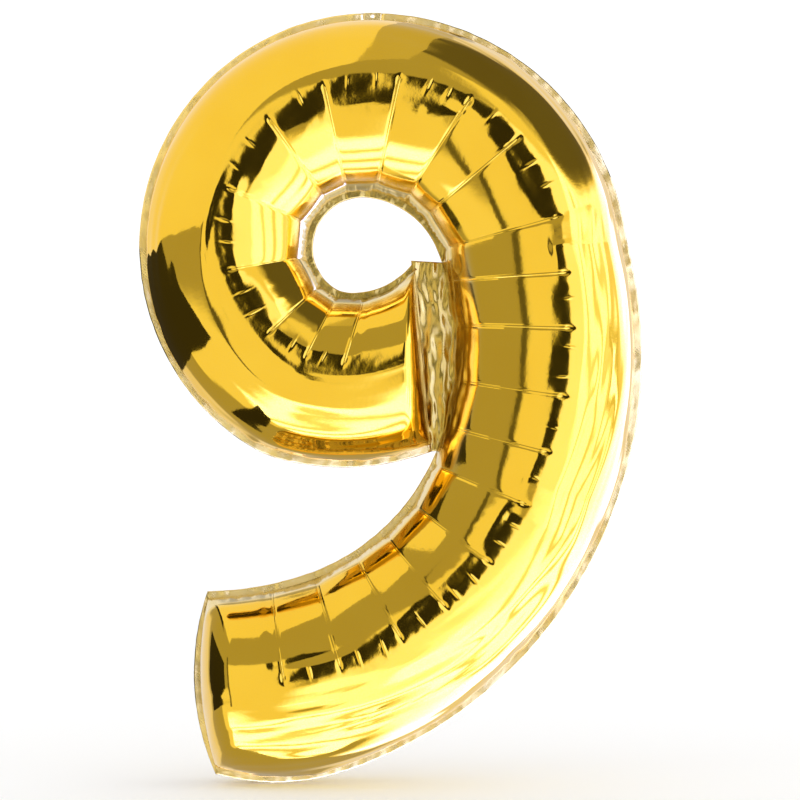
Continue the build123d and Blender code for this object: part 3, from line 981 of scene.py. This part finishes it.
def neck_root(seed):
    """The film that leaves the tail's bottom weld and folds back to become the neck."""
    bent, stations = root_bend()
    tangent = np.gradient(bent, axis=0)
    tangent /= np.linalg.norm(tangent, axis=1)[:, None]
    normal = np.stack([tangent[:, 1], -tangent[:, 0]], 1)
    share = np.linspace(-1, 1, ROOT_COLUMNS)
    across = NECK_FOLD[0] + share * (NECK_ROOT_HALF - ROOT_INSET)
    across_cells, along_cell = ROOT_RIPPLE_CELLS
    ripple = ROOT_RIPPLE * lattice_noise(
        (share[None, :] + 1) * across_cells, stations[:, None] / along_cell, seed)
    grids = []
    for offset in (ROOT_HALF_FILM, -ROOT_HALF_FILM):
        moved = bent[:, None, :] + normal[:, None, :] * (offset + ripple)[:, :, None]
        grids.append(np.stack([across[None, :] + moved[:, :, 0] * 0, moved[:, :, 0], moved[:, :, 1]], 2))
    return closed_film("neck_root_foil", *grids)


# ---- Materials ----
def noise_node(tree, scale, detail):
    """Noise in the balloon's own coordinates, in metres."""
    place = tree.nodes.new("ShaderNodeTexCoord")
    noise = tree.nodes.new("ShaderNodeTexNoise")
    noise.inputs["Scale"].default_value = scale
    noise.inputs["Detail"].default_value = detail
    tree.links.new(place.outputs["Object"], noise.inputs["Vector"])
    return noise.outputs["Fac"]


def mapped(tree, value, low, high):
    """A noise value turned into a number from low to high."""
    node = tree.nodes.new("ShaderNodeMapRange")
    for socket, setting in zip(node.inputs, (value, NOISE_LOW, NOISE_HIGH, low, high)):
        feed(tree, socket, setting)
    return node.outputs["Result"]


def feed(tree, socket, value):
    """Give a node's input a number, a colour or another node's output."""
    if isinstance(value, (int, float)):
        socket.default_value = value
    elif isinstance(value, tuple):
        socket.default_value = (*value, 1)
    else:
        tree.links.new(value, socket)


def mix(tree, share, first, second):
    """Two numbers or two colours mixed by a share, from the first at 0 to the second at 1."""
    node = tree.nodes.new("ShaderNodeMix")
    low, high, output = 2, 3, 0  # the node's sockets for numbers
    if isinstance(second, tuple):
        node.data_type = "RGBA"
        low, high, output = 6, 7, 2  # and for colours
    for number, value in ((0, share), (low, first), (high, second)):
        feed(tree, node.inputs[number], value)
    return node.outputs[output]


def band_over(tree, name, colour, roughness, base, rough):
    """Lay the colour and roughness of a band over others, by the piece's stored numbers."""
    share = tree.nodes.new("ShaderNodeAttribute")
    share.attribute_name = name
    return mix(tree, share.outputs["Fac"], base, colour), mix(tree, share.outputs["Fac"], rough, roughness)


def node_material(name):
    """A new material with its node tree and its shader."""
    material = bpy.data.materials.new(name)
    material.use_nodes = True
    return material, material.node_tree, material.node_tree.nodes["Principled BSDF"]


def mixed_tints(tree, tint, other_tint, scale, detail):
    """Two tints mixed by noise."""
    return mix(tree, mapped(tree, noise_node(tree, scale, detail), 0, 1), tint, other_tint)


def ripples(tree, scale, height):
    """Fine bumps from noise, their height in millimetres."""
    bump = tree.nodes.new("ShaderNodeBump")
    bump.inputs["Distance"].default_value = height * MM
    tree.links.new(noise_node(tree, scale, COARSE_DETAIL), bump.inputs["Height"])
    return bump


def film_material(name, tint, other_tint, roughness, ripple, ripple_height, ribbed):
    """Metallised film: a tinted metal under clear lacquer, with faint ripples in the film."""
    material, tree, shader = node_material(name)
    shader.inputs["Metallic"].default_value = 1.0
    shader.inputs["Coat Weight"].default_value = COAT_WEIGHT
    shader.inputs["Coat Roughness"].default_value = COAT_ROUGHNESS
    base = mixed_tints(tree, tint, other_tint, TINT_SCALE, COARSE_DETAIL)
    rough = mapped(tree, noise_node(tree, ROUGHNESS_SCALE, FINE_DETAIL), *roughness)
    # Painted highlight and painted shade: a paler and a darker base colour, with more roughness, laid beside
    # the welds in place of bright and dark reflections
    base, rough = band_over(tree, "rough_painted_highlight", PAINTED_HIGHLIGHT_COLOUR, PAINTED_HIGHLIGHT_ROUGHNESS, base, rough)
    base, rough = band_over(tree, "rough_painted_shade", PAINTED_SHADE_COLOUR, PAINTED_SHADE_ROUGHNESS, base, rough)
    tree.links.new(base, shader.inputs["Base Color"])
    tree.links.new(rough, shader.inputs["Roughness"])
    bump = ripples(tree, ripple, ripple_height)
    bump.inputs["Strength"].default_value = 1.0
    if ribbed:
        bump = seal_ribs(tree, bump)
    tree.links.new(bump.outputs["Normal"], shader.inputs["Normal"])
    return material


def seal_ribs(tree, bump):
    """Fine slanting ribs that the sealing bar presses into a weld, laid over the ripples."""
    place = tree.nodes.new("ShaderNodeTexCoord")
    wave = tree.nodes.new("ShaderNodeTexWave")
    wave.bands_direction = "DIAGONAL"
    wave.inputs["Scale"].default_value = RIB_SCALE
    wave.inputs["Distortion"].default_value = RIB_DISTORTION
    tree.links.new(place.outputs["Object"], wave.inputs["Vector"])
    ribs = tree.nodes.new("ShaderNodeBump")
    ribs.inputs["Strength"].default_value = RIB_STRENGTH
    ribs.inputs["Distance"].default_value = RIB_HEIGHT * MM
    tree.links.new(wave.outputs["Fac"], ribs.inputs["Height"])
    tree.links.new(bump.outputs["Normal"], ribs.inputs["Normal"])
    return ribs


def valve_material():
    """Thin clear polyethylene, a little cloudy and rippled."""
    material, tree, shader = node_material("valve_film")
    shader.inputs["Alpha"].default_value = CLEAR_ALPHA
    tint_scale, rough_scale, ripple_scale = CLEAR_SCALES
    tint = mixed_tints(tree, *CLEAR_TINTS, tint_scale, FINE_DETAIL)
    rough = mapped(tree, noise_node(tree, rough_scale, FINE_DETAIL), *CLEAR_ROUGHNESS)
    tree.links.new(tint, shader.inputs["Base Color"])
    tree.links.new(rough, shader.inputs["Roughness"])
    bump = ripples(tree, ripple_scale, CLEAR_RIPPLE)
    tree.links.new(bump.outputs["Normal"], shader.inputs["Normal"])
    return material


# ---- Stage ----
def camera():
    """Long lens from straight in front, level with the balloon's middle."""
    data = bpy.data.cameras.new("camera")
    data.lens = CAMERA_LENS
    data.sensor_width = CAMERA_SENSOR
    item = bpy.data.objects.new("camera", data)
    item.location = CAMERA_PLACE
    item.rotation_euler = (math.radians(90), 0, 0)
    bpy.context.scene.collection.objects.link(item)
    bpy.context.scene.camera = item


def math_node(tree, operation, *values):
    """Output of a math node on one or two numbers or sockets."""
    node = tree.nodes.new("ShaderNodeMath")
    node.operation = operation
    for socket, value in zip(node.inputs, values):
        feed(tree, socket, value)
    return node.outputs[0]


def band_mask(tree, angle, middle, half, softness):
    """1 within half of the middle angle and 0 beyond, with a soft edge; all in degrees."""
    away = math_node(tree, "ABSOLUTE", math_node(tree, "SUBTRACT", angle, middle))
    mask = tree.nodes.new("ShaderNodeMapRange")
    mask.interpolation_type = "SMOOTHSTEP"
    for socket, setting in zip(mask.inputs, (away, half + softness, half - softness)):
        feed(tree, socket, setting)
    return mask.outputs["Result"]


def studio_brightness(tree):
    """Brightness of the studio in each direction."""
    direction = tree.nodes.new("ShaderNodeSeparateXYZ")
    tree.links.new(tree.nodes.new("ShaderNodeTexCoord").outputs["Generated"], direction.inputs[0])
    toward = math_node(tree, "MULTIPLY", direction.outputs[1], -1)
    azimuth = math_node(tree, "DEGREES", math_node(tree, "ARCTAN2", direction.outputs[0], toward))
    elevation = math_node(tree, "DEGREES", math_node(tree, "ARCSINE", direction.outputs[2]))
    brightness = DIM_WALL
    for side, height, half_width, half_height, softness, level in PANELS:
        mask = math_node(tree, "MULTIPLY", band_mask(tree, azimuth, side, half_width, softness),
                         band_mask(tree, elevation, height, half_height, softness))
        brightness = mix(tree, mask, brightness, level)
    return brightness


def studio_colour(tree, brightness):
    """White light up to a brightness of 1, with daylight added to it above that."""
    plain = math_node(tree, "MINIMUM", brightness, 1)
    above = math_node(tree, "MAXIMUM", math_node(tree, "SUBTRACT", brightness, 1), 0)
    colour = tree.nodes.new("ShaderNodeCombineColor")
    for socket, daylight in zip(colour.inputs, DAYLIGHT):
        added = math_node(tree, "MULTIPLY", above, daylight)
        tree.links.new(math_node(tree, "ADD", plain, added), socket)
    return colour.outputs[0]


def world():
    """Plain white all round, and a studio of soft panels for whatever mirrors it."""
    item = bpy.data.worlds.new("studio")
    bpy.context.scene.world = item
    item.use_nodes = True
    tree = item.node_tree
    nodes, links = tree.nodes, tree.links
    studio = nodes["Background"]
    links.new(studio_colour(tree, studio_brightness(tree)), studio.inputs["Color"])
    white = nodes.new("ShaderNodeBackground")
    white.inputs["Color"].default_value = (1, 1, 1, 1)
    white.inputs["Strength"].default_value = WHITE_STRENGTH
    path = nodes.new("ShaderNodeLightPath")
    choice = nodes.new("ShaderNodeMixShader")
    links.new(path.outputs["Is Glossy Ray"], choice.inputs[0])
    links.new(white.outputs[0], choice.inputs[1])
    links.new(studio.outputs[0], choice.inputs[2])
    links.new(choice.outputs[0], nodes["World Output"].inputs["Surface"])


def stage_object(name, vertices, faces):
    """A thing that isn't part of the balloon, with the shader of its own material."""
    mesh = bpy.data.meshes.new(name)
    mesh.from_pydata(vertices, [], faces)
    item = bpy.data.objects.new(name, mesh)
    bpy.context.scene.collection.objects.link(item)
    material, _, shader = node_material(name)
    mesh.materials.append(material)
    return item, shader


def floor():
    """Pale floor that only the camera and the light see, so that the foil reflects the studio."""
    turns = [math.tau * i / FLOOR_SPOKES for i in range(FLOOR_SPOKES)]
    rim = [(FLOOR_RADIUS * math.cos(t), FLOOR_RADIUS * math.sin(t), -FLOOR_DROP) for t in turns]
    item, shader = stage_object("floor", rim, [list(range(FLOOR_SPOKES))])
    item.visible_glossy = False
    shader.inputs["Base Color"].default_value = (*FLOOR_COLOUR, 1)
    shader.inputs["Roughness"].default_value = FLOOR_ROUGHNESS


def hidden_card(name, vertices, faces, brightness):
    """A card of the studio that only the foil sees."""
    item, shader = stage_object(name, vertices, faces)
    item.visible_camera = False
    item.visible_diffuse = False
    item.visible_shadow = False
    shader.inputs["Base Color"].default_value = (0, 0, 0, 1)
    shader.inputs["Specular IOR Level"].default_value = 0
    shader.inputs["Emission Color"].default_value = (*CARD_COLOUR, 1)
    shader.inputs["Emission Strength"].default_value = brightness


def curved_card(name, front, rear, brightness):
    """Card close round the left of the loop, between its two long edges."""
    vertices = []
    for i in range(CARD_STEPS + 1):
        for (first_y, first), (last_y, last) in (front, rear):
            turn = math.radians(first + (last - first) * i / CARD_STEPS)
            x = CARD_CENTRE[0] + CARD_RADIUS * math.cos(turn)
            z = CARD_CENTRE[1] + CARD_RADIUS * math.sin(turn)
            vertices.append((x, first_y + (last_y - first_y) * i / CARD_STEPS, z))
    faces = [[2 * i, 2 * i + 1, 2 * i + 3, 2 * i + 2] for i in range(CARD_STEPS)]
    hidden_card(name, vertices, faces, brightness)


# ---- Balloon ----
def place(piece, body, slot, material, *nodes):
    """Give a piece its body, its finish and the CAD nodes that it stands for."""
    piece.data.materials.append(material)
    if nodes:
        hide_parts(*nodes)
    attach(piece, body)


def build_stage():
    """Camera, world, floor and the cards that the foil mirrors."""
    camera()
    world()
    floor()
    for name, (front, rear, brightness) in CURVED_CARDS.items():
        curved_card(name, front, rear, brightness)
    hidden_card("tail_flag", TAIL_FLAG, [[0, 1, 2, 3]], TAIL_FLAG_BRIGHTNESS)


def build_skins(gold):
    """Front and rear panels, each in place of the seven CAD nodes that its tube is cut into."""
    panels = (("front_foil", "front_skin", -1, front_creases(), FRONT_SEED),
              ("rear_foil", "rear_skin", 1, rear_creases(REAR_SEED), REAR_SEED))
    for name, prefix, side, creases, seed in panels:
        surface, backing, bands = skin_grid(creases, seed)
        turned = np.array([1, side, 1])
        foil = closed_film(name, surface * turned, backing * turned, *BACKING_STEPS)
        # Store the shares of painted highlight and painted shade for the gold material
        for band, values in bands.items():
            paint(foil, band, values)
        nodes = [node for node in sorted(frame["nodes"]) if node.startswith(prefix)]
        place(foil, "balloon", "gold_foil", gold, *nodes)


def build_welds(weld, web):
    """The flat welds, the hang tab and the web; the eye's weld has the web's rougher and darker film, its
    darkness being painted shade.
    """
    for name, side, first, last, wave, seed, node in SIDE_WELDS:
        piece = side_weld(name, side, first, last, wave, seed)
        place(piece, "balloon", "weld_foil", web if name == "eye_weld" else weld, node)
    place(tail_end_weld(65), "balloon", "weld_foil", weld, "tail_end_seam")
    place(hang_tab(), "balloon", "weld_foil", weld, "hang_tab")
    place(loop_web(66), "balloon", "gold_foil", web, "loop_web")


def build_neck(neck_film):
    """The neck's two plies, and the bent film at the root of its fold."""
    place(neck_ply("neck_lower_foil", -1, 67), "neck", "gold_foil", neck_film, "neck_lower_ply")
    place(neck_ply("neck_upper_foil", 1, 68), "neck", "gold_foil", neck_film, "neck_upper_ply")
    root = neck_root(69)
    root.data.materials.append(neck_film)
    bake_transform(root)


def finish_cad_nodes(weld, clear):
    """Materials of the CAD nodes that keep their own shape."""
    for node in ("valve_front_film", "valve_rear_film", "valve_edge_welds", "neck_side_welds"):
        mesh = frame["nodes"][node].data
        mesh.materials.clear()
        mesh.materials.append(weld if node == "neck_side_welds" else clear)


build_stage()
gold_foil, weld_foil, web_foil_painted_shade, neck_foil = (film_material(name, *finish) for name, finish in FILMS.items())
build_skins(gold_foil)
build_welds(weld_foil, web_foil_painted_shade)
build_neck(neck_foil)
finish_cad_nodes(weld_foil, valve_material())

bpy.context.scene.view_settings.view_transform = "Standard"
